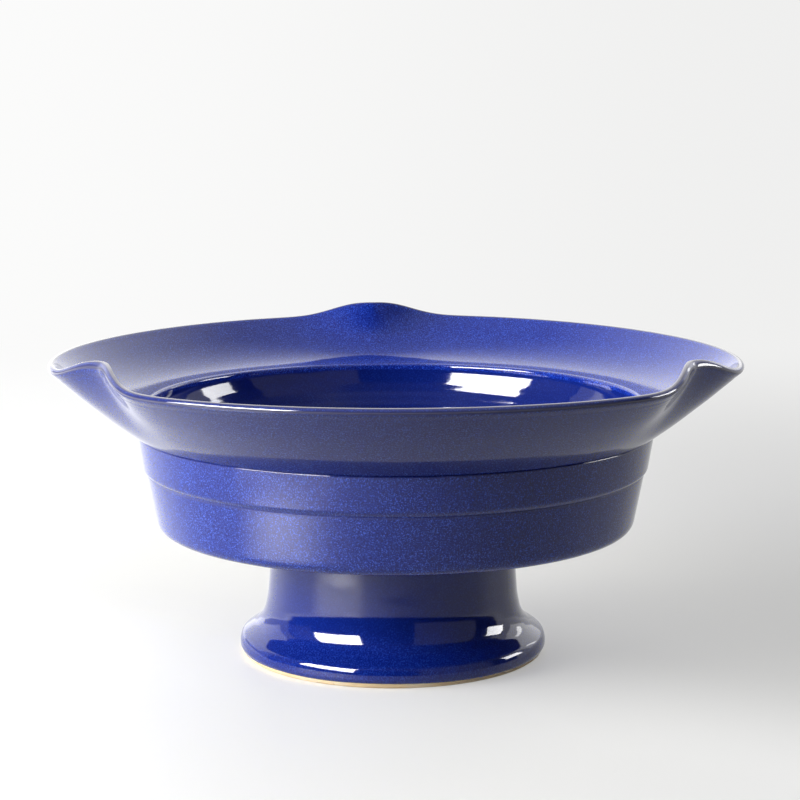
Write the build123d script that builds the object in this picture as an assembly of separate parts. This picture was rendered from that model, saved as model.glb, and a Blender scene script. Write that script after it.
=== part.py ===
from build123d import *
from math import cos, exp, radians, sin, tan
import os

os.makedirs("parts", exist_ok=True)

# A footed ikebana vessel: a wide stoneware bowl, thrown with two turned bands, a
# deep well with a ledge round it, and a flared rim that is pressed in at three
# places. It stands on a hollow pedestal that was thrown apart and luted on with
# slip, a little off centre, and a coat of glaze covers everything but the foot
# ring. Millimetres, +Z up, with the origin on the table under the middle of the
# bowl, and the front at -Y. Sizes are of the bare clay: the glaze lies outside.

# Glaze and luting slip
glaze_thickness = 0.5
slip_thickness = 0.8
bare_ring_height = 1.3

# Pedestal, from the stem outwards and from the table up
pedestal_set_off = 1.3
stem_radius = 54.8
stem_wall = 5.6
stem_height = 38.65
ankle_spread = 2.0
ankle_height = 7.6
ankle_rounding = 15.0
foot_slope_spread = 9.9
foot_slope_height = 9.6
foot_top_rounding = 15.0
foot_toe_spread = 2.2
foot_toe_height = 2.0
foot_toe_rounding = 1.8
foot_toe_undercut = 2.5
foot_ring_width = 6.0
hollow_mouth_taper = 1.8
hollow_mouth_height = 6.0
hollow_knee_spread = 1.4
hollow_knee_rise = 15.0
hollow_rounding = 12.0

# Basin of the bowl, from its bottom edge up
basin_bottom_radius = 106.0
chine_rounding = 4.8
lower_band_spread = 5.0
lower_band_height = 25.5
groove_depth = 1.5
groove_rise = 1.0
groove_rounding = 0.9
upper_band_spread = 2.6
upper_band_height = 16.75
shoulder_rounding = 0.6
crease_depth = 1.6
crease_height = 0.6
floor_thickness = 6.0
wall_at_bottom = 5.4
wall_at_top = 5.0
well_corner_rounding = 9.0
well_edge_rounding = 1.5

# Ledge and flared rim, from the band outwards and from the crease up
flare_root_step = 0.9
belly_width = 10.0
belly_rise = 7.1
belly_rounding = 60.0
flare_width = 13.7
flare_rise = 11.35
flare_wall = 3.6
flare_rounding = 60.0
lip_width = 11.5
lip_rise = 13.05
lip_thickness = 2.4
ledge_width = 14.7
ledge_rise = 11.9
ledge_corner_rounding = 7.0

# Lobes of the rim and the three places where it is pressed in, angles from +X
pinch_angles = (94.8, 212.2, 329.5)
pinch_depth = 11.65
pinch_half_angle = 9.34
pinch_sharpness = 1.63
pinch_lift = 7.6
lift_half_angle = 9.41
lift_sharpness = 2.56
lobe_flattening = 2.8
lobe_angle = 32.7
fade_power = 1.5
points_round_rim = 72

# Where the lofted rim takes its lines, along each straight or curved stretch of its side
straight_shares = (0, 0.12, 0.5, 0.88)
curved_shares = (0, 0.5)

# Share of the shorter stretch beside a corner that its rounding may use
rounding_share = 0.48

# Allowance by which a cutting solid runs past what it cuts
overrun = 5.0

# Radii and heights that follow from the sizes above
ankle_radius = stem_radius + ankle_spread
foot_top_radius = ankle_radius + foot_slope_spread
foot_toe_radius = foot_top_radius + foot_toe_spread
foot_ring_outer_radius = foot_toe_radius - foot_toe_undercut
foot_ring_inner_radius = foot_ring_outer_radius - foot_ring_width
foot_top_height = foot_toe_height + foot_slope_height
ankle_top_height = foot_top_height + ankle_height
pedestal_height = ankle_top_height + stem_height
hollow_radius = stem_radius - stem_wall
hollow_knee_radius = hollow_radius + hollow_knee_spread
bowl_bottom = pedestal_height + slip_thickness
groove_height = bowl_bottom + lower_band_height
shoulder_height = groove_height + groove_rise + upper_band_height
flare_bottom = shoulder_height + crease_height
ledge_height = flare_bottom + ledge_rise
rim_height = flare_bottom + belly_rise + flare_rise + lip_rise
well_floor = bowl_bottom + floor_thickness
lower_band_top_radius = basin_bottom_radius + lower_band_spread
upper_band_foot_radius = lower_band_top_radius + groove_depth
upper_band_top_radius = upper_band_foot_radius + upper_band_spread
crease_radius = upper_band_top_radius - crease_depth
well_bottom_radius = basin_bottom_radius - wall_at_bottom
well_top_radius = upper_band_top_radius - wall_at_top
ledge_corner_radius = well_top_radius + ledge_width
flare_root_radius = upper_band_top_radius + flare_root_step
belly_radius = flare_root_radius + belly_width
flare_bend_radius = belly_radius + flare_width
rim_radius = flare_bend_radius + lip_width
full_turn = 360


def coated_side(corners, roundings, coat):
    """Points and radii of a side, in radius and height, once a coat lies on it.

    Outside is to the right of the way the corners run. A rounding is kept within the
    stretches beside it, and the coat makes it larger where the clay stands out.
    """
    points = [Vector(*corner) for corner in corners]
    ways = [(b - a).normalized() for a, b in zip(points, points[1:])]
    outs = [Vector(way.Y, -way.X) for way in ways]
    lengths = [(b - a).length for a, b in zip(points, points[1:])]
    moved = [points[0] + outs[0] * coat]
    radii = []
    for i, rounding in enumerate(roundings):
        bend = radians(ways[i].get_angle(ways[i + 1]))
        room = rounding_share * min(lengths[i], lengths[i + 1]) / tan(bend / 2)
        stands_out = ways[i].cross(ways[i + 1]).Z > 0
        kept = min(rounding, room)
        radii.append(max(kept + coat if stands_out else kept - coat, 0))
        miter = (outs[i] + outs[i + 1]) * (coat / (1 + outs[i].dot(outs[i + 1])))
        moved.append(points[i + 1] + miter)
    moved.append(points[-1] + outs[-1] * coat)
    return moved, radii


def turned(corners, roundings, coat=0):
    """Solid turned about Z, from the axis along a rounded side and back to the axis."""
    points, radii = coated_side(corners, roundings, coat)
    top = Vector(0, points[-1].Y)
    bottom = Vector(0, points[0].Y)
    ends = [end for end, point in ((top, points[-1]), (bottom, points[0])) if point.X > 0]
    radii = [0] + radii + [0] * (1 + len(ends))
    outline = FilletPolyline(*points, *ends, radius=radii, close=True)
    return revolve(Plane.XZ * make_face(outline), Axis.Z)


def rounded_at(body, radius, height, rounding):
    """The body with its round edge nearest to a radius and height taken off."""
    circles = body.edges().filter_by(GeomType.CIRCLE)
    edge = min(circles, key=lambda e: abs(e.radius - radius) + abs(e.arc_center.Z - height))
    return fillet(edge, rounding)


def rim_ring(radius, height, share):
    """Closed line round the flare, with a share of the lip's lobes and pinches."""
    places = []
    for step in range(points_round_rim):
        angle = full_turn * step / points_round_rim
        pressed = lifted = 0
        for pinch_angle in pinch_angles:
            away = (angle - pinch_angle + full_turn / 2) % full_turn - full_turn / 2
            pressed += exp(-abs(away / pinch_half_angle) ** pinch_sharpness)
            lifted += exp(-abs(away / lift_half_angle) ** lift_sharpness)
        lobe = lobe_flattening * cos(3 * radians(angle - lobe_angle))
        r = radius - share * (pinch_depth * pressed + lobe)
        z = height + share * pinch_lift * lifted
        places.append(Vector(r * cos(radians(angle)), r * sin(radians(angle)), z))
    parameters = [step / points_round_rim for step in range(points_round_rim + 1)]
    return Wire([Edge.make_spline(places, periodic=True, parameters=parameters)])


def flared_rim(coat):
    """Ledge with the flared rim round it, lofted from lines that run round the vessel."""
    lip_middle = Vector(rim_radius, rim_height - lip_thickness / 2)
    bend_outside = Vector(flare_bend_radius, flare_bottom + belly_rise + flare_rise)
    up_flare = (lip_middle - bend_outside).normalized()
    inward = Vector(-up_flare.Y, up_flare.X)
    half_lip = inward * (lip_thickness / 2)
    lip_end = lip_middle + up_flare * (lip_thickness / 2)
    corners = (
        (flare_root_radius, flare_bottom),
        (belly_radius, flare_bottom + belly_rise),
        bend_outside,
        lip_end - half_lip,
        lip_end + half_lip,
        bend_outside + inward * flare_wall,
        (ledge_corner_radius, ledge_height),
        (flare_root_radius, ledge_height),
    )
    roundings = (
        belly_rounding,
        flare_rounding,
        lip_thickness / 2,
        lip_thickness / 2,
        flare_rounding,
        ledge_corner_rounding,
    )
    points, radii = coated_side(corners, roundings, 0)
    side = FilletPolyline(*points, radius=radii)
    rings = []
    foot = flare_bottom
    for edge in side.edges():
        if edge.length < glaze_thickness:
            continue
        shares = straight_shares if edge.geom_type == GeomType.LINE else curved_shares
        for share in shares:
            place = edge @ share
            way = edge % share
            if way.X < 0:
                foot = ledge_height
            rise = max(place.Y - foot, 0) / (rim_height - foot)
            out = Vector(way.Y, -way.X) * coat
            rings.append(rim_ring(place.X + out.X, place.Y + out.Y, rise**fade_power))
    last = side @ 1
    rings.append(rim_ring(last.X, last.Y + coat, 0))
    return Solid.make_loft(rings)


def bowl(coat):
    """The bowl with a coat of some thickness all over it, or bare where that is zero."""
    plate_middle = (flare_bottom + ledge_height) / 2
    basin_corners = (
        (0, bowl_bottom),
        (basin_bottom_radius, bowl_bottom),
        (lower_band_top_radius, groove_height),
        (upper_band_foot_radius, groove_height + groove_rise),
        (upper_band_top_radius, shoulder_height),
        (crease_radius, shoulder_height),
        (crease_radius, plate_middle),
    )
    basin_roundings = (
        chine_rounding,
        groove_rounding,
        groove_rounding,
        shoulder_rounding,
        0,
    )
    well_lean = (well_top_radius - well_bottom_radius) / (ledge_height - well_floor)
    well_corners = (
        (0, well_floor),
        (well_bottom_radius, well_floor),
        (well_top_radius + well_lean * overrun, ledge_height + overrun),
    )
    basin = turned(basin_corners, basin_roundings, coat)
    well = turned(well_corners, (well_corner_rounding,), -coat)
    body = basin + flared_rim(coat) - well
    return rounded_at(body, well_top_radius - coat, ledge_height + coat, well_edge_rounding + coat)


def pedestal_blank(coat):
    """The pedestal before its hollow is taken out, run on up into the bowl."""
    corners = (
        (foot_ring_outer_radius, 0),
        (foot_toe_radius, foot_toe_height),
        (foot_top_radius, foot_top_height),
        (ankle_radius, ankle_top_height),
        (stem_radius, pedestal_height),
        (stem_radius, bowl_bottom + overrun),
    )
    roundings = (foot_toe_rounding, foot_top_rounding, ankle_rounding, 0)
    return Pos(-pedestal_set_off, 0, 0) * turned(corners, roundings, coat)


def pedestal_hollow(coat):
    """The space inside the pedestal, run on up into the bowl, less a coat on its wall."""
    corners = (
        (foot_ring_inner_radius, 0),
        (foot_ring_inner_radius - hollow_mouth_taper, hollow_mouth_height),
        (hollow_knee_radius, hollow_mouth_height + hollow_knee_rise),
        (hollow_radius, pedestal_height),
        (hollow_radius, bowl_bottom + overrun),
    )
    hollow = turned(corners, (hollow_rounding, hollow_rounding, 0), -coat)
    return Pos(-pedestal_set_off, 0, 0) * hollow


def slab(bottom, top):
    """A disc wider than the vessel between two heights."""
    lowest = (Align.CENTER, Align.CENTER, Align.MIN)
    return Pos(0, 0, bottom) * Cylinder(rim_radius + pinch_depth, top - bottom, align=lowest)


def make_parts():
    """Every piece of the vessel by its node's name."""
    under_bowl = bowl_bottom - glaze_thickness
    bowl_clay = bowl(0)
    blank = pedestal_blank(0)
    hollow = pedestal_hollow(0)
    glazed_hollow = pedestal_hollow(glaze_thickness) & slab(0, under_bowl)
    return {
        "bowl_clay": bowl_clay,
        "pedestal_clay": (blank - hollow) & slab(0, pedestal_height),
        "luting_slip": (blank - hollow) & slab(pedestal_height, bowl_bottom),
        "bowl_glaze": bowl(glaze_thickness) - bowl_clay - blank,
        "pedestal_glaze": (pedestal_blank(glaze_thickness) - blank) & slab(bare_ring_height, under_bowl),
        "hollow_glaze": hollow & slab(bare_ring_height, bowl_bottom) - glazed_hollow,
    }


for name, piece in make_parts().items():
    export_step(piece, f"parts/{name}.step")
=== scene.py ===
import bpy
import numpy as np
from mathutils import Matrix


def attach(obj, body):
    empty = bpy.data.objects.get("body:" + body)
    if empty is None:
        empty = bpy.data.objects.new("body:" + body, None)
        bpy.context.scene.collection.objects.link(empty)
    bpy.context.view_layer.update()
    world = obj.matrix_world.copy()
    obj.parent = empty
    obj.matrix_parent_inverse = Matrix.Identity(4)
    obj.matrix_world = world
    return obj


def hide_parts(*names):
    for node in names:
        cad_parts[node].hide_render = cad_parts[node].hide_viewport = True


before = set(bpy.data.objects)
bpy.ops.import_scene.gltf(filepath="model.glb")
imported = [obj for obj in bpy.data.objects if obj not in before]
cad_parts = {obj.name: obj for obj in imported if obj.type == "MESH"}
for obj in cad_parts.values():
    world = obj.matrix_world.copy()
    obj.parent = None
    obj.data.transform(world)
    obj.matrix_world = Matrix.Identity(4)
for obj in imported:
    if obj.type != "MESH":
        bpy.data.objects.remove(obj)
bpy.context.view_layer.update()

# The bowl's clay: stoneware thrown on the wheel in one piece, bands turned once it is
# leather hard, rim pressed in with the fingers at three places. The glaze hides all of
# it. Sizes are millimetres, over the glaze, and a clay skin lies half a millimetre under.
glaze_thickness = 0.5
stem_edge_radius = 54.8
under_bowl = 58.15
flare_foot = 102.15
flare_wall = 4.6
lip_radius = 151.2
lip_top = 134.5
lip_thickness = 3.4
ledge_height = 114.9
floor_height = 65.15

bottom_edge = (106.5, under_bowl)
lower_band_edge = (111.45, 83.9)
groove_bottom = (111.35, 84.35)
upper_band_foot = (112.95, 86.0)
shoulder = (115.55, 101.55)
crease = (114.55, 101.95)
flare_root = (116.35, flare_foot)
belly = (126.27, 109.2)
flare_bend = (140.03, 120.57)
lip_end = (150.67, 131.11)
flare_sweep = ((138.0, 124.75), (131.0, 120.5), (124.0, 117.55), (117.0, 115.8))
well_edge = (109.7, ledge_height)
well_wall = (
    (109.5, 112.0), (108.7, 108.4), (107.4, 104.9), (105.6, 101.2),
    (101.8, 94.2), (101.0, 87.5), (100.6, 76.0),
)
well_corner = (100.1, floor_height)

pinch_angles = (94.8, 212.2, 329.5)
pinch_depth = 11.65
pinch_half_angle = 9.34
pinch_sharpness = 1.63
pinch_lift = 7.6
lift_half_angle = 9.41
lift_sharpness = 2.56
lobe_flattening = 2.8
lobe_angle = 32.7
fade_power = 1.5

# Two shallow turned lines under the lip: how far under it each lies, and how deep.
lip_lines = ((4.6, 0.16), (7.4, 0.07))
lip_line_width = 0.8
lip_lines_beyond_radius = 130

# The throwing rings that fingers left in the well's wall, fading out under its edge.
throwing_ring_pitch = 4.3
throwing_ring_depth = 0.03
throwing_rings_bottom = 74
throwing_rings_top = 114
throwing_rings_fade = 6

# How many points go round the bowl, how much closer they lie at a pinch, and over how
# many degrees. The hidden clay skin takes every third ring and every second point.
points_round_bowl = 320
points_crowding = 3.0
crowded_half_angle = 9.0
clay_row_step = 3

# The fired stoneware's colour, painted brighter and warmer for the light that the pale table
# bounces onto the bare foot ring.
clay_with_painted_bounce = (0.95, 0.73, 0.43, 1)
fired_clay_light = (0.95, 0.79, 0.55, 1)
grog = (0.62, 0.44, 0.26, 1)

clay_cloud_size = 9.0
sand_size = 0.7
grog_size = 1.6
grog_share = 0.7
sand_depth = 0.0002


def rounded_line(corners, roundings, spacings):
    """Points along a line in radius and height, its inner corners rounded, and the points
    of a straight stretch no farther apart than that stretch's spacing."""
    most_of_stretch = 0.49
    widest_turn = 0.3
    least_step = 1e-4
    corners = np.array(corners, float)
    line = [corners[0]]
    straight = []
    for i, rounding in enumerate(roundings, start=1):
        back = corners[i - 1] - corners[i]
        ahead = corners[i + 1] - corners[i]
        room = most_of_stretch * min(np.linalg.norm(back), np.linalg.norm(ahead))
        back /= np.linalg.norm(back)
        ahead /= np.linalg.norm(ahead)
        half = np.arccos(np.clip(back @ ahead, -1, 1)) / 2
        sweep = np.pi - 2 * half
        reach = min(rounding / np.tan(half), room)
        radius = reach * np.tan(half)
        inward = (back + ahead) / np.linalg.norm(back + ahead)
        middle = corners[i] + inward * (radius / np.sin(half))
        start = corners[i] + back * reach - middle
        end = corners[i] + ahead * reach - middle
        spacing = min(spacings[i - 1], spacings[i])
        steps = int(np.ceil(max(sweep * radius / spacing, sweep / widest_turn)))
        straight.append(len(line) - 1)
        for t in np.linspace(0, 1, steps + 1):
            spoke = np.sin((1 - t) * sweep) * start + np.sin(t * sweep) * end
            line.append(middle + spoke / np.sin(sweep))
    straight.append(len(line) - 1)
    line.append(corners[-1])
    points = [line[0]]
    for i, (a, b) in enumerate(zip(line, line[1:])):
        pieces = 1
        if i in straight:
            spacing = spacings[straight.index(i)]
            pieces = max(int(np.ceil(np.linalg.norm(b - a) / spacing)), 1)
        points += [a + (b - a) * k / pieces for k in range(1, pieces + 1)]
    points = np.array(points)
    apart = np.linalg.norm(np.diff(points, axis=0), axis=1) > least_step
    return points[np.concatenate([[True], apart])]


def outward(points):
    """Unit vectors to the right of the way that points run."""
    way = np.gradient(points, axis=0)
    way /= np.linalg.norm(way, axis=1, keepdims=True)
    return np.stack([way[:, 1], -way[:, 0]], axis=1)


def away_from(angles, centre):
    """Degrees from an angle, from -180 to 180."""
    return (angles - centre + 180) % 360 - 180


def turns_round(count, close_to=(), closer=0.0, reach=1.0):
    """Angles in degrees round the vessel, closer together near some of them."""
    fine = np.linspace(0, 360, 360 * 20 + 1)
    density = np.ones_like(fine)
    for angle in close_to:
        density += closer * np.exp(-((away_from(fine, angle) / reach) ** 2))
    share = np.concatenate([[0], np.cumsum((density[1:] + density[:-1]) / 2)])
    return np.interp(np.arange(count) / count, share / share[-1], fine)


def rings(radius, height, angles):
    """Points at some radius and height, row by row, at every angle round the axis."""
    turn = np.radians(angles)[None]
    radius, height = np.broadcast_arrays(radius + 0 * turn, height + 0 * turn)
    return np.stack([radius * np.cos(turn), radius * np.sin(turn), height], axis=2)


def pressed_in(line, still_below, angles):
    """Rings from a line, drawn in and lifted at the pinches, all the more towards the lip."""
    pressed = np.zeros_like(angles)
    lifted = np.zeros_like(angles)
    for angle in pinch_angles:
        off = np.abs(away_from(angles, angle))
        pressed += np.exp(-((off / pinch_half_angle) ** pinch_sharpness))
        lifted += np.exp(-((off / lift_half_angle) ** lift_sharpness))
    lobes = lobe_flattening * np.cos(3 * np.radians(angles - lobe_angle))
    rise = np.clip((line[:, 1] - still_below) / (lip_top - still_below), 0, None)
    share = (rise**fade_power)[:, None]
    radius = line[:, :1] - share * (pinch_depth * pressed + lobes)[None]
    height = line[:, 1:] + share * pinch_lift * lifted[None]
    return rings(radius, height, angles)


def closed_skin(name, rows, thin=None):
    """A closed mesh over rows of rings, where a ring at the axis becomes one point. It can
    hold how thin the glaze is at each row, a number below nought where it is thick, and
    lower still on the stem for painted shade."""
    points, places, thinness = [], [], []
    for i, row in enumerate(rows):
        ring = row[:1] if np.hypot(row[:, 0], row[:, 1]).max() < 1e-6 else row
        places.append(list(range(len(points), len(points) + len(ring))))
        points.extend(ring)
        thinness.extend([0.0 if thin is None else thin[i]] * len(ring))
    faces = []
    for low, high in zip(places, places[1:] + places[:1]):
        count = max(len(low), len(high))
        if count == 1:
            continue
        for j in range(count):
            k = (j + 1) % count
            if len(low) == 1:
                faces.append((low[0], high[k], high[j]))
            elif len(high) == 1:
                faces.append((low[j], low[k], high[0]))
            else:
                faces.append((low[j], low[k], high[k], high[j]))
    mesh = bpy.data.meshes.new(name)
    mesh.from_pydata((np.array(points) / 1000).tolist(), [], faces)
    mesh.shade_smooth()
    if thin is not None:
        kept = mesh.attributes.new("glaze_thinness_and_shade", "FLOAT", "POINT")
        kept.data.foreach_set("value", thinness)
    mesh.validate()
    piece = bpy.data.objects.new(name, mesh)
    bpy.context.collection.objects.link(piece)
    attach(piece, "root")
    return piece


class Socket:
    """An output of a node. A sum written with it adds the Math nodes that work it out."""

    def __init__(self, finish, output):
        self.finish = finish
        self.output = output

    def maths(self, operation, *values):
        settings = {"operation": operation}
        return self.finish.node("ShaderNodeMath", settings, dict(enumerate(values)))

    def __add__(self, other):
        return self.maths("ADD", self, other)

    def __radd__(self, other):
        return self.maths("ADD", other, self)

    def __sub__(self, other):
        return self.maths("SUBTRACT", self, other)

    def __rsub__(self, other):
        return self.maths("SUBTRACT", other, self)

    def __mul__(self, other):
        return self.maths("MULTIPLY", self, other)

    def __rmul__(self, other):
        return self.maths("MULTIPLY", other, self)

    def __truediv__(self, other):
        return self.maths("DIVIDE", self, other)

    def __rtruediv__(self, other):
        return self.maths("DIVIDE", other, self)

    def __pow__(self, other):
        return self.maths("POWER", self, other)

    def __rpow__(self, other):
        return self.maths("POWER", other, self)

    def at_least(self, other):
        return self.maths("MAXIMUM", self, other)

    def between(self, low, high):
        """0 below low, 1 above high, and smooth between them."""
        settings = {"interpolation_type": "SMOOTHSTEP"}
        values = {"Value": self, "From Min": low, "From Max": high}
        return self.finish.node("ShaderNodeMapRange", settings, values)


class Finish:
    """A node tree being written, of a material or of the world."""

    def __init__(self, owner):
        owner.use_nodes = True
        self.owner = owner
        self.nodes = owner.node_tree.nodes
        self.links = owner.node_tree.links
        self.nodes.clear()

    def node(self, kind, settings=None, values=None, out=0):
        """One node: its settings first, then its sockets' values or links. Gives the output
        of that place or name, or nothing where the node has none."""
        made = self.nodes.new(kind)
        for name, setting in (settings or {}).items():
            setattr(made, name, setting)
        for name, value in (values or {}).items():
            if isinstance(value, Socket):
                self.links.new(value.output, made.inputs[name])
            else:
                made.inputs[name].default_value = value
        return Socket(self, made.outputs[out]) if made.outputs else None

    def mix(self, amount, first, second):
        """A colour between two colours, which are the node's sockets 6 and 7."""
        settings = {"data_type": "RGBA"}
        return self.node("ShaderNodeMix", settings, {0: amount, 6: first, 7: second}, out=2)

    def place(self):
        """The place on the object, in metres from its origin."""
        return self.node("ShaderNodeTexCoord", out="Object")

    def noise(self, size, detail=2.0, roughness=0.5):
        """Cloudy noise over the object, with spots of some size in millimetres."""
        values = {"Vector": self.place(), "Scale": 1000 / size}
        values |= {"Detail": detail, "Roughness": roughness}
        return self.node("ShaderNodeTexNoise", None, values)

    def bump(self, height, depth, strength):
        """Shading as of a surface raised by height times a depth in metres."""
        values = {"Strength": strength, "Distance": depth, "Height": height}
        return self.node("ShaderNodeBump", None, values)

    def output(self, shader, kind="ShaderNodeOutputMaterial"):
        self.node(kind, None, {0: shader})
        return self.owner


def bare_clay(name, tone):
    """Bare fired stoneware, a little sandy, with dark grog in it."""
    clay = Finish(bpy.data.materials.new(name))
    cloud = clay.noise(clay_cloud_size, detail=4)
    sand = clay.noise(sand_size, detail=3, roughness=0.7)
    fleck = clay.noise(grog_size, detail=1).between(0.68, 0.74)
    colour = clay.mix(cloud.between(0.35, 0.65), tone, fired_clay_light)
    colour = clay.mix(fleck * grog_share, colour, grog)
    values = {"Base Color": colour, "Roughness": 0.72 + sand * 0.2, "Specular IOR Level": 0.3}
    values |= {"Normal": clay.bump(sand, sand_depth, strength=0.5)}
    return clay.output(clay.node("ShaderNodeBsdfPrincipled", None, values))


up_flare = np.array(lip_end) - np.array(flare_bend)
up_flare /= np.linalg.norm(up_flare)
to_inside = np.array([-up_flare[1], up_flare[0]])
lip_middle = np.array([lip_radius, lip_top - lip_thickness / 2])
lip_outer = lip_middle + (up_flare - to_inside) * lip_thickness / 2
lip_inner = lip_outer + to_inside * lip_thickness
bend_inside = np.array(flare_bend) + to_inside * flare_wall
halfway_in = (lip_inner + bend_inside) / 2

# Each line's corners, how round the inner ones are, and the widest spacing of the points
# on every stretch.
outside = rounded_line(
    (
        (stem_edge_radius, under_bowl), bottom_edge, lower_band_edge, groove_bottom,
        upper_band_foot, shoulder, crease, flare_root, belly, flare_bend,
        lip_outer, lip_inner, halfway_in,
    ),
    (5.3, 1.2, 0.3, 3.2, 0.9, 0.3, 0.6, 130, 130, lip_thickness / 2, lip_thickness / 2),
    (6.0, 1.5, 0.4, 0.35, 1.3, 0.4, 0.5, 1.6, 1.6, 0.75, 0.5, 1.4),
)
inside = rounded_line(
    (
        halfway_in, *flare_sweep, well_edge, *well_wall, well_corner, (0, floor_height),
    ),
    (60.0, 60.0, 60.0, 60.0, 1.5, 20.0, 22.0, 25.0, 30.0, 4.0, 40.0, 60.0, 8.5),
    (1.4, 1.5, 1.5, 1.5, 1.5, 0.8, 0.8, 0.8, 0.9, 1.1, 1.6, 2.0, 2.2, 2.6),
)
below_lip = np.linalg.norm(outside - lip_outer, axis=1)
near_lip = outside[:, 0] > lip_lines_beyond_radius
for far, depth in lip_lines:
    dip = np.exp(-(((below_lip - far) / lip_line_width) ** 2))
    outside[:, 0] -= depth * dip * near_lip
ring_wave = np.sin(inside[:, 1] * 2 * np.pi / throwing_ring_pitch)
ring_fade = np.clip((throwing_rings_top - inside[:, 1]) / throwing_rings_fade, 0, 1)
above_floor = inside[:, 1] > throwing_rings_bottom
inside[:, 0] -= throwing_ring_depth * ring_wave * ring_fade * above_floor
top = int(np.argmax(outside[:, 1]))
line = np.concatenate([outside, inside[1:]])
still_below = np.where(np.arange(len(line)) <= top, flare_foot, ledge_height)
facing = outward(line)
clay_line = line - facing * glaze_thickness

angles = turns_round(points_round_bowl, pinch_angles, points_crowding, crowded_half_angle)
clay_angles = angles[::2]
clay_rows = []
for k in sorted(set(range(0, len(line), clay_row_step)) | {top, len(line) - 1}):
    clay_rows += list(pressed_in(clay_line[k : k + 1], still_below[k], clay_angles))
clay_rows[0][:, 2] = clay_line[0, 1]
clay_rows.insert(0, rings(np.array([[0.0]]), clay_line[:1, 1:], clay_angles)[0])
bowl_skin = closed_skin("bowl_clay_skin", clay_rows)
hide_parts("bowl_clay")
# Its tone holds painted bounce light from the table.
stoneware = bare_clay("stoneware", clay_with_painted_bounce)
bowl_skin.data.materials.append(stoneware)

# The pedestal's clay: a stem and spreading foot of the same stoneware, thrown hollow and
# upside down, then turned. Its foot ring is wiped clean of glaze so that it doesn't stick
# to the kiln shelf, and shows as a thin cream line above the table.
stem_set_off = 1.3
bead_height = 2.45
pedestal_top = 57.85
glazed_clay_above = 2.6
points_round_pedestal = 288

# Radius and height of the line outside, of the bare ring, and of the hollow.
pedestal_corners = (
    (68.5, bead_height), (69.25, 4.0), (69.2, 6.3), (68.4, 9.1), (62.2, 13.2),
    (59.4, 16.3), (57.9, 19.8), (56.5, 26.5), (55.5, 40.0), (55.3, under_bowl),
)
pedestal_roundings = (1.3, 3.0, 3.5, 9.0, 9.0, 16.0, 40.0, 90.0)
pedestal_spacings = (0.5, 0.8, 0.7, 0.9, 0.9, 0.9, 1.2, 1.6, 2.2)
foot_ring = np.array([(60.4, 0.0), (65.8, 0.0), (66.8, 0.3), (67.6, 0.9), (68.05, 1.8)])
hollow = np.array([(49.2, pedestal_top), (50.6, 21.0), (58.6, 6.0)])

pedestal_line = rounded_line(pedestal_corners, pedestal_roundings, pedestal_spacings)
pedestal_facing = outward(pedestal_line)
under_coat = (pedestal_line - pedestal_facing * glaze_thickness)[::2]
under_coat = under_coat[under_coat[:, 1] > glazed_clay_above]
under_coat[-1, 1] = pedestal_top
pedestal_clay_line = np.concatenate([foot_ring, under_coat, hollow])
stem_angles = turns_round(points_round_pedestal)
pedestal_clay_rows = list(
    rings(pedestal_clay_line[:, :1], pedestal_clay_line[:, 1:], stem_angles[::2])
)
for row in pedestal_clay_rows:
    row[:, 0] -= stem_set_off
pedestal_skin = closed_skin("pedestal_clay_skin", pedestal_clay_rows)
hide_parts("pedestal_clay")
pedestal_skin.data.materials.append(stoneware)

# The luting slip: wet clay that was brushed between the scored pedestal and the bowl's
# underside. It fires to the same stoneware, a shade greyer. The solid shows as it is.
fired_slip = (0.60, 0.48, 0.32, 1)


def finish_solid(node, material):
    """Give a solid that shows as it is the finish of its real piece."""
    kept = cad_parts[node].data.materials
    kept.clear()
    kept.append(material)


finish_solid("luting_slip", bare_clay("slip", fired_slip))

# The bowl's glaze: a coat half a millimetre thick that runs from the stem over the
# underside, bands, flare and lip, down over the ledge and into the well. The bowl is
# dipped, and the kiln fuses the coat to the clay. It runs thin over each edge.
cobalt = (0.0080, 0.0370, 0.400, 1)
cobalt_dark = (0.0040, 0.0150, 0.215, 1)
cobalt_speck = (0.0480, 0.1400, 0.840, 1)
cobalt_deep = (0.0030, 0.0140, 0.170, 1)
cobalt_thin = (0.055, 0.062, 0.200, 1)
lip_pale = (0.27, 0.26, 0.33, 1)

glaze_cloud_size = 22.0
drift_size = 7.0
crystal_size = 0.62
orange_peel_size = 3.0
orange_peel_depth = 0.0001
fewer_specks_in_thick = 0.35
deep_colour_in_thick = 0.8

# Where the coat runs thin: an edge, how many millimetres that reaches, and how thin it
# gets. It pools in the well, and hangs a little thicker on the flare and lip.
thin_edges = (
    (lip_outer, 1.1, 1.3),
    (lip_inner, 1.4, 1.4),
    (shoulder, 0.7, 0.55),
    (lower_band_edge, 0.6, 0.5),
    (bottom_edge, 1.6, 0.35),
)
pooled_below = ledge_height - 2.5
pooled_coat = 1.0
flare_from_radius = 118
flare_coat = 0.2

# The coat's own underside stays a little above the clay skin, and has fewer rows.
coat_share = 0.9
coat_back_step = 5

pooled = (np.arange(len(line)) > top) & (line[:, 1] < pooled_below)
on_flare = np.where(line[:, 0] > flare_from_radius, flare_coat, 0.0)
thick = np.where(pooled, pooled_coat, on_flare)
thin = np.zeros(len(line))
for edge, reach, amount in thin_edges:
    thin += amount * np.exp(-((np.linalg.norm(line - np.array(edge), axis=1) / reach) ** 2))
thin -= thick * np.clip(1 - 2 * thin, 0, 1)

coat_rows = []
row_thin = []
for k in range(len(line)):
    coat_rows += list(pressed_in(line[k : k + 1], still_below[k], angles))
    row_thin.append(thin[k])
for k in range(len(line) - 1, -1, -coat_back_step):
    back = line[k : k + 1] - facing[k : k + 1] * glaze_thickness * coat_share
    coat_rows += list(pressed_in(back, still_below[k], angles))
    row_thin.append(0.0)
bowl_coat = closed_skin("bowl_glaze_coat", coat_rows, row_thin)
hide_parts("bowl_glaze")


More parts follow.
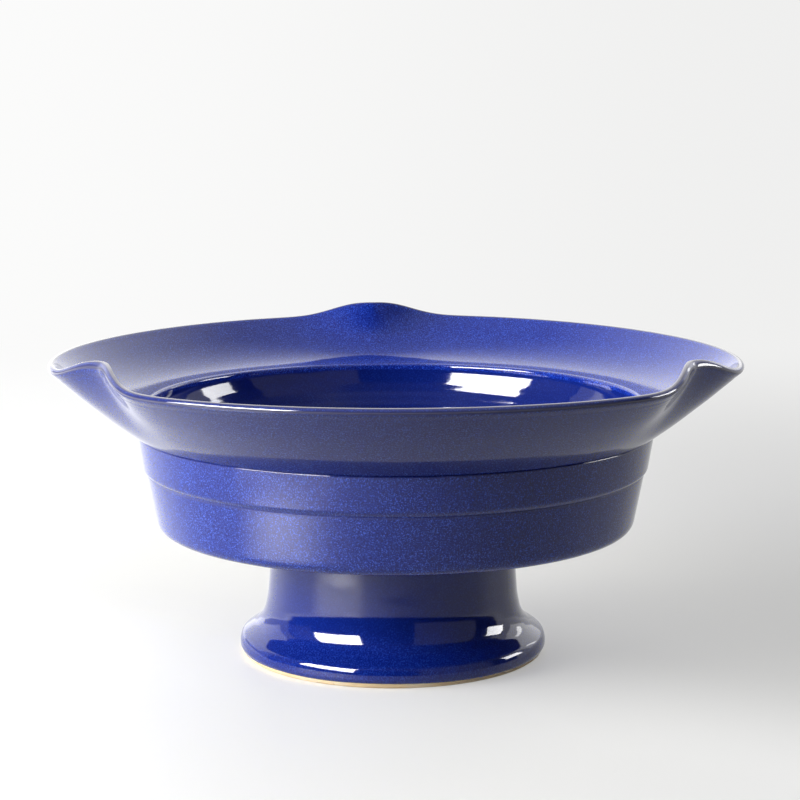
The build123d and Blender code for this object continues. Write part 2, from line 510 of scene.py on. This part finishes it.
def glossy_cobalt(name):
    """Cobalt glaze: deep blue glass over clay, full of fine lighter specks, with fewer of
    them and a deeper blue where the coat is thick and where painted shade darkens the stem,
    and paler and browner where it is thin."""
    glaze = Finish(bpy.data.materials.new(name))
    cloud = glaze.noise(glaze_cloud_size, detail=3)
    drift = glaze.noise(drift_size, detail=2)
    crystals = glaze.noise(crystal_size, detail=1.5, roughness=0.7)
    orange_peel = glaze.noise(orange_peel_size, detail=1)
    thinness = glaze.node("ShaderNodeAttribute", {"attribute_name": "glaze_thinness_and_shade"}, out="Fac")
    thickness_and_shade = thinness * -1.0
    colour = glaze.mix(crystals.between(0.38, 0.56), cobalt_dark, cobalt)
    speck = (crystals + drift * 0.12 + cloud * 0.06).between(0.62, 0.78)
    speck = speck * (1 - thickness_and_shade.between(0.0, 0.25) * fewer_specks_in_thick)
    colour = glaze.mix(speck, colour, cobalt_speck)
    # Deeper blue where the coat is thick, and on the stem as painted shade.
    deep = thickness_and_shade.between(0, 1) * deep_colour_in_thick
    colour = glaze.mix(deep, colour, cobalt_deep)
    colour = glaze.mix(thinness.between(0.1, 0.8), colour, cobalt_thin)
    colour = glaze.mix(thinness.between(0.7, 1.0), colour, lip_pale)
    values = {"Base Color": colour, "Roughness": 0.05 + cloud * 0.03, "IOR": 1.5}
    values |= {"Normal": glaze.bump(orange_peel, orange_peel_depth, strength=0.10)}
    return glaze.output(glaze.node("ShaderNodeBsdfPrincipled", None, values))


cobalt_glaze = glossy_cobalt("cobalt_glaze")
bowl_coat.data.materials.append(cobalt_glaze)

# The pedestal's glaze: the same coat over stem and foot. It was dipped with the bowl, and
# ends in a soft, slightly wavy bead where the potter wiped the foot ring clean.

# The bead's waves: how high, how many go round, and by what angle they are turned. They
# die out this far above the bead, and the coat's underside starts a few rows above it.
bead_waves = ((0.16, 3, 40), (0.10, 7, 0))
bead_wave_reach = 2.5
bead_rows = 3
pedestal_back_step = 3

# How thin the coat counts up to one height on the foot, and from another on up the stem:
# below nought, which deepens the blue of both. The stem's lower number is painted shade,
# where the bowl above shades it.
coat_and_stem_shade_heights = (15, 26)
deep_foot_and_shaded_stem = (-0.6, -1.0)

wave = 0.0
for size, waves_round, turned_by in bead_waves:
    wave = wave + size * np.sin(np.radians(stem_angles * waves_round + turned_by))
low = np.clip(1 - (pedestal_line[:, 1:] - bead_height) / bead_wave_reach, 0, 1) ** 2
wavy_heights = pedestal_line[:, 1:] + low * wave[None]
pedestal_rows = list(rings(pedestal_line[:, :1], wavy_heights, stem_angles))
pedestal_back = pedestal_line - pedestal_facing * glaze_thickness * coat_share
for k in range(len(pedestal_line) - 1, bead_rows - 1, -pedestal_back_step):
    back = pedestal_back[k : k + 1]
    pedestal_rows += list(rings(back[:, :1], back[:, 1:], stem_angles))
for row in pedestal_rows:
    row[:, 0] -= stem_set_off
# The stem's deeper blue is painted shade under the bowl.
pedestal_thin_and_shade = [
    np.interp(row[0, 2], coat_and_stem_shade_heights, deep_foot_and_shaded_stem) for row in pedestal_rows
]
pedestal_coat = closed_skin("pedestal_glaze_coat", pedestal_rows, pedestal_thin_and_shade)
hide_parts("pedestal_glaze")
pedestal_coat.data.materials.append(cobalt_glaze)

# The glaze inside the pedestal: poured in and out again, it coats the hollow stem and the
# round patch of the bowl's underside that closes it. The solid shows as it is.
finish_solid("hollow_glaze", cobalt_glaze)

# The table: a pale satin top that ends a little before the vessel, and runs back and up
# into a pale ground. Camera and mirrored rays find part of its tone as its own light, and
# light that spreads finds it dim beyond the foot, so that the vessel's far side stays deep.
pale = (0.95, 0.95, 0.945, 1)
warm_pale = (0.96, 0.95, 0.87, 1)
painted_shade_grey = (0.34, 0.34, 0.34, 1)
# The ground's painted falloff of light: lighter on the left, near the window, and dimmer on the
# right.
ground_lit_left = (0.965, 0.965, 0.962, 1)
ground_painted_dimmer_right = (0.865, 0.865, 0.86, 1)
spread_near = (0.92, 0.88, 0.82, 1)
spread_beyond = (0.25, 0.245, 0.23, 1)

# Distances from the vessel's middle, in metres, over which one tone passes into the next.
warm_to_pale = (0.12, 0.4)
near_to_beyond = (0.085, 0.15)
table_to_ground = (0.35, 1.1)

# The window's glare on the table: a spot at the front left and a fan over the left side
# that only the glaze mirrors, and a weak glow at the near left that the camera sees.
glare_middle = (-0.156, -0.167, 0)
glare_radius = 0.085
glare_strength = 10.5
left_mirrored_strength = 1.5
near_left_strength = 0.68

# How grey the right side looks to the camera, a painted shade, how much of the table's
# tone near the vessel is light of its own, and how satin it is on the left and on the right.
painted_shade_seen = 0.72
glow_share = 0.33
satin_left = 0.40
satin_right = 0.68

table = Finish(bpy.data.materials.new("pale_table"))


def ray(finish, way):
    """1 for light that runs that way."""
    return finish.node("ShaderNodeLightPath", out=way)


def shown_rays(finish):
    """1 for what the camera, mirror reflections and glass see, 0 for light that spreads."""
    shown = ray(finish, "Is Camera Ray")
    for way in ("Is Glossy Ray", "Is Transmission Ray"):
        shown = shown.at_least(ray(finish, way))
    return shown


shown = shown_rays(table)
mirrored = ray(table, "Is Glossy Ray")
place = table.place()
across = table.node("ShaderNodeSeparateXYZ", None, {0: place}, out="X")
behind = table.node("ShaderNodeSeparateXYZ", None, {0: place}, out="Y")
distance = table.node("ShaderNodeVectorMath", {"operation": "LENGTH"}, {0: place}, out="Value")
from_glare = table.node(
    "ShaderNodeVectorMath", {"operation": "DISTANCE"}, {0: place, 1: glare_middle}, out="Value"
)
glare = 1 - from_glare.between(0.0, glare_radius)
# 0 on the left and 1 on the right of a fan that opens a metre before the vessel.
sideways = (across / (behind + 1.0)).between(-0.2, 0.2)
near_left = (behind * -1.0 - across * 0.5).between(-0.05, 0.11)

# Painted falloff of light over the ground and the table's glow, dimmer to the right.
ground = table.mix(sideways, ground_lit_left, ground_painted_dimmer_right)
left_mirrored = ((1 - sideways) ** 3) * left_mirrored_strength
seen_brighter = (1 - mirrored) * near_left * near_left_strength
brighter = 1 + mirrored * (left_mirrored + glare * glare_strength) + seen_brighter
near_pale = table.mix(distance.between(*warm_to_pale), warm_pale, pale)
# Painted shade: the table greyer towards the right, where the vessel's shadow and the light's
# falloff lie, for the camera and more so in reflections.
painted_shade_share = (painted_shade_seen + mirrored * (1 - painted_shade_seen)) * sideways**2.0
seen_tone = table.mix(painted_shade_share, near_pale, painted_shade_grey)
spread_tone = table.mix(distance.between(*near_to_beyond), spread_near, spread_beyond)
tone = table.mix(shown, spread_tone, seen_tone)
satin = satin_left + sideways * (satin_right - satin_left)
values = {"Base Color": tone, "Roughness": satin, "IOR": 1.45}
lit = table.node("ShaderNodeBsdfPrincipled", None, values)
glow = table.node("ShaderNodeEmission", None, {"Color": ground, "Strength": shown * brighter})
near = table.node("ShaderNodeMixShader", None, {0: glow_share, 1: lit, 2: glow})
far_off = distance.between(*table_to_ground)
table_shader = table.node("ShaderNodeMixShader", None, {0: far_off, 1: near, 2: glow})

table_side = 4
table_front = -0.42
ground_back = 6
ground_height = 3
floor_corners = [
    (-table_side, table_front, 0),
    (table_side, table_front, 0),
    (table_side, ground_back, 0),
    (-table_side, ground_back, 0),
    (table_side, ground_back, ground_height),
    (-table_side, ground_back, ground_height),
]
floor_mesh = bpy.data.meshes.new("table_top")
floor_mesh.from_pydata(floor_corners, [], [(0, 1, 2, 3), (3, 2, 4, 5)])
floor_mesh.materials.append(table.output(table_shader))
floor = bpy.data.objects.new("table_top", floor_mesh)
bpy.context.collection.objects.link(floor)

# The room round the table: a faint even light on everything, and a much brighter backdrop
# for the camera, mirror reflections and glass.
ambient_strength = 0.06
backdrop_strength = 0.78
backdrop_seen_more = 0.16

world = bpy.data.worlds.new("studio")
bpy.context.scene.world = world
sky = Finish(world)
strength = ambient_strength + shown_rays(sky) * (backdrop_strength - ambient_strength)
strength = strength + ray(sky, "Is Camera Ray") * backdrop_seen_more
backdrop = sky.node("ShaderNodeBackground", None, {"Color": (1, 1, 1, 1), "Strength": strength})
sky.output(backdrop, "ShaderNodeOutputWorld")

# What the glaze mirrors: windows, pale walls, and the dim room in front and at the sides,
# each a flat card that only mirror reflections see. Azimuth and elevation are degrees, and
# distances metres.
middle_height = 0.1
dim = (0.85, 0.92, 1, 1)

# A card that fades does so between two heights, and to a strength at the upper one.
dusk = (1.7, 7.4, 0.76)
wall_fade = (2.0, 7.5, 0.78)


def towards(azimuth, elevation, distance):
    """A place seen from the vessel, azimuth from the front towards the right."""
    turn, lift = np.radians(azimuth), np.radians(elevation)
    level = distance * np.cos(lift)
    height = middle_height + distance * np.sin(lift)
    return np.array([level * np.sin(turn), -level * np.cos(turn), height])


def upright(azimuth_from, azimuth_to, low, high, distance):
    """Corners of an upright card between two azimuths and two elevations."""
    below, above = distance / np.cos(np.radians([low, high]))
    return [
        (azimuth_from, low, below),
        (azimuth_to, low, below),
        (azimuth_to, high, above),
        (azimuth_from, high, above),
    ]


def card(name, corners, strength, colour=(1, 1, 1, 1), fades=None):
    """A flat card, corners in azimuth, elevation and distance, that only reflections show."""
    mesh = bpy.data.meshes.new(name)
    places = [tuple(towards(*corner)) for corner in corners]
    mesh.from_pydata(places, [], [tuple(range(len(corners)))])
    piece = bpy.data.objects.new(name, mesh)
    bpy.context.collection.objects.link(piece)
    tone = Finish(bpy.data.materials.new(name))
    if fades:
        low, high, at_top = fades
        height = tone.node("ShaderNodeSeparateXYZ", None, {0: tone.place()}, out="Z")
        strength = height.between(low, high) * (at_top - strength) + strength
    light = tone.node("ShaderNodeEmission", None, {"Color": colour, "Strength": strength})
    mesh.materials.append(tone.output(light))
    piece.visible_camera = False
    piece.visible_diffuse = False
    piece.visible_shadow = False
    piece.visible_transmission = False


card("room_front", upright(-38, 38, -40, 64, 4.2), 0.02, dim, dusk)
card("room_left", upright(-38, -104, -40, 64, 4.6), 0.03, dim, dusk)
card("room_right", upright(38, 104, -40, 64, 4.6), 0.03, dim, dusk)
card("wall_front_right", upright(14, 78, 1, 36, 3.7), 0.30)
card("wall_left", upright(-77, -103, 2, 40, 3.3), 0.25)
card("window_left_panes", upright(-73, -29, 12, 38, 2.8), 37)
card("window_right_panes", upright(92, 112, 6, 24, 2.8), 14)
card("window_back_left", upright(-120, -146, 8, 21, 2.8), 2.0)
card("window_back_right", upright(136, 142, 12, 26, 2.8), 5)
card("wall_back_left", upright(-116, -180, 6, 60, 4.4), 1.8, fades=wall_fade)
card("wall_back_right", upright(124, 180, 6, 60, 4.4), 1.7, fades=wall_fade)

# The daylight: soft lamps for the window on the left, one behind on the right, and the
# ceiling over the right side. They leave no highlights, since the cards above give those.


def soft_lamp(name, azimuth, elevation, distance, width, height, power):
    """An area lamp that looks at the vessel, its power in watts."""
    lamp = bpy.data.lights.new(name, "AREA")
    lamp.shape = "RECTANGLE"
    lamp.size = width
    lamp.size_y = height
    lamp.energy = power
    piece = bpy.data.objects.new(name, lamp)
    piece.location = towards(azimuth, elevation, distance)
    piece.rotation_euler = (np.radians(90 - elevation), 0, np.radians(azimuth))
    piece.visible_glossy = False
    bpy.context.collection.objects.link(piece)


soft_lamp("window_left", -72, 17, 2.2, 1.6, 0.9, 70)
soft_lamp("window_right", 158, 42, 3.0, 2.4, 2.0, 42)
soft_lamp("ceiling", 80, 66, 3.0, 3.0, 3.0, 21)

# The camera: a metre before the vessel and a little above its rim, looking nine degrees
# down, as the fit to the circles on the vessel found it. Lens and sensor are millimetres.
camera_place = (0.00199, -0.97874, 0.26969)
camera_tilt = 80.976
camera_lens = 99.44
camera_sensor = 36

camera = bpy.data.cameras.new("camera")
camera.lens = camera_lens
camera.sensor_width = camera_sensor
viewpoint = bpy.data.objects.new("camera", camera)
viewpoint.location = camera_place
viewpoint.rotation_euler = (np.radians(camera_tilt), 0, 0)
bpy.context.collection.objects.link(viewpoint)
bpy.context.scene.camera = viewpoint
bpy.context.scene.view_settings.view_transform = "Standard"
